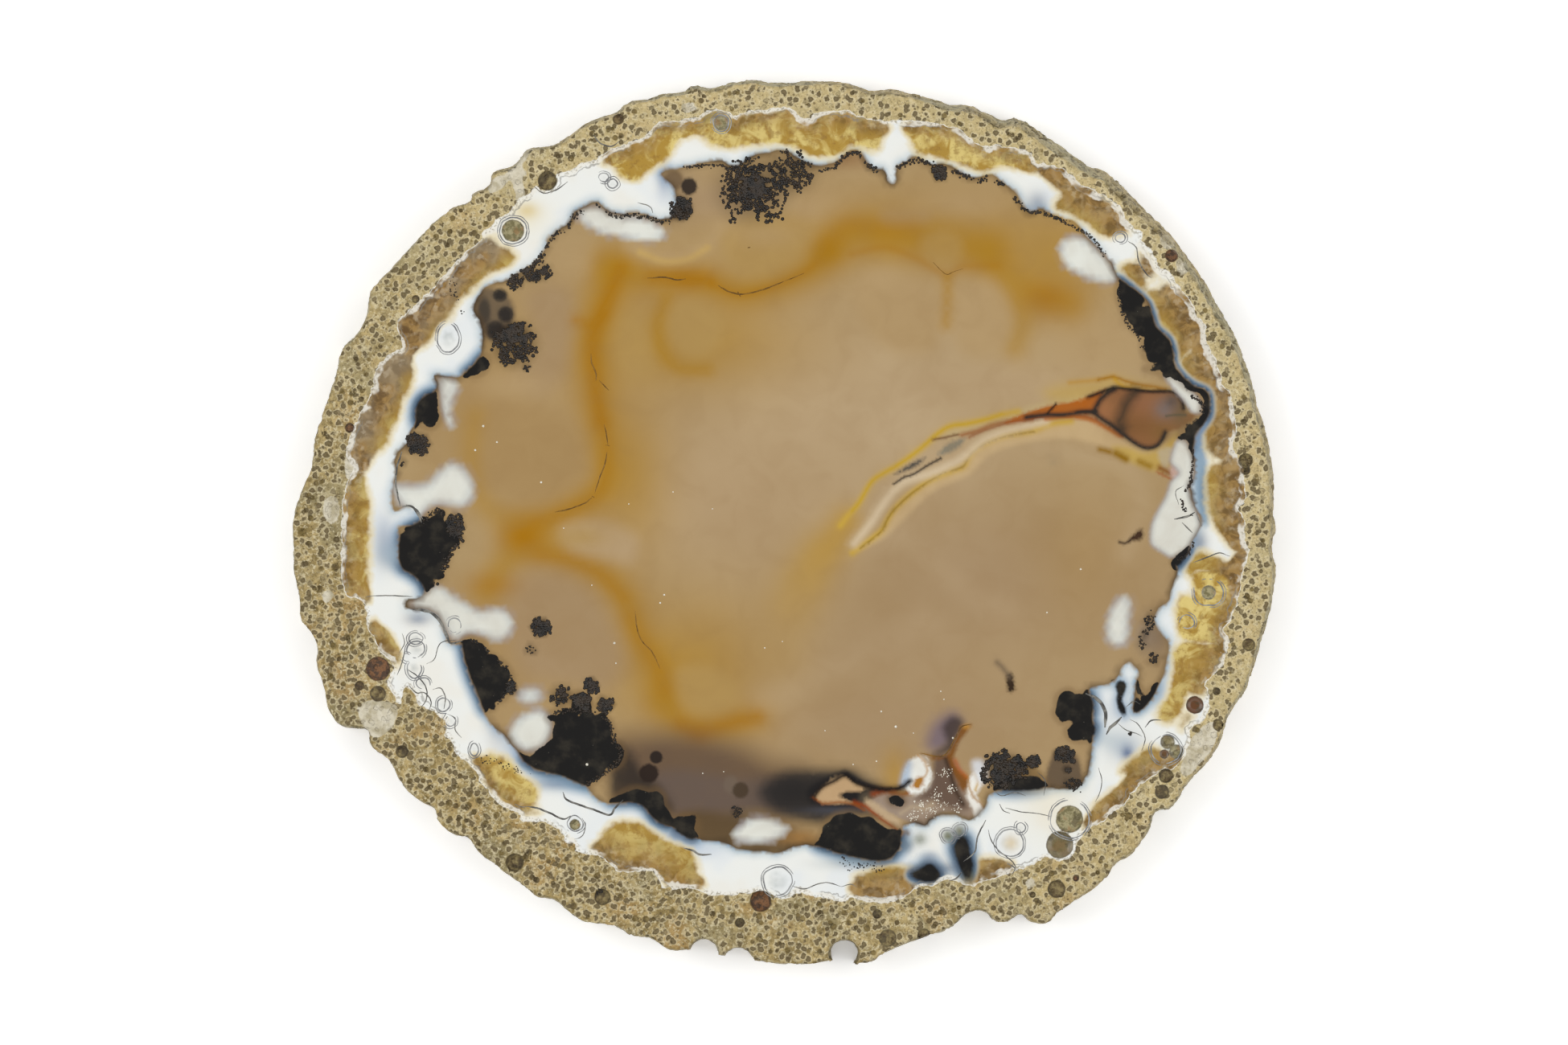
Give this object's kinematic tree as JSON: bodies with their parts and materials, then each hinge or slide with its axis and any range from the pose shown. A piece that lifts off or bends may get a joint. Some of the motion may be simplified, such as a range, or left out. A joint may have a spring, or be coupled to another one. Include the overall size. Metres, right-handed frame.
{
  "type": "polished agate slice",
  "caption": "Flat sawn and polished slice of agate with a rough pitted rim, a pale banded wall and a translucent brown heart, lying on its back face.",
  "frame": {"origin": "middle of the slice's box, on the back face that it rests on", "axes": "+Z up out of the polished front face; +X to the right and +Y up as the face is seen in the picture"},
  "size_m": [0.1001, 0.09, 0.006],
  "materials": {
    "polished_agate": "lapped to a glassy polish on both faces, rough natural skin round the rim"
  },
  "bodies": {
    "root": {"agate_slice": "polished_agate"}
  },
  "joints": []
}
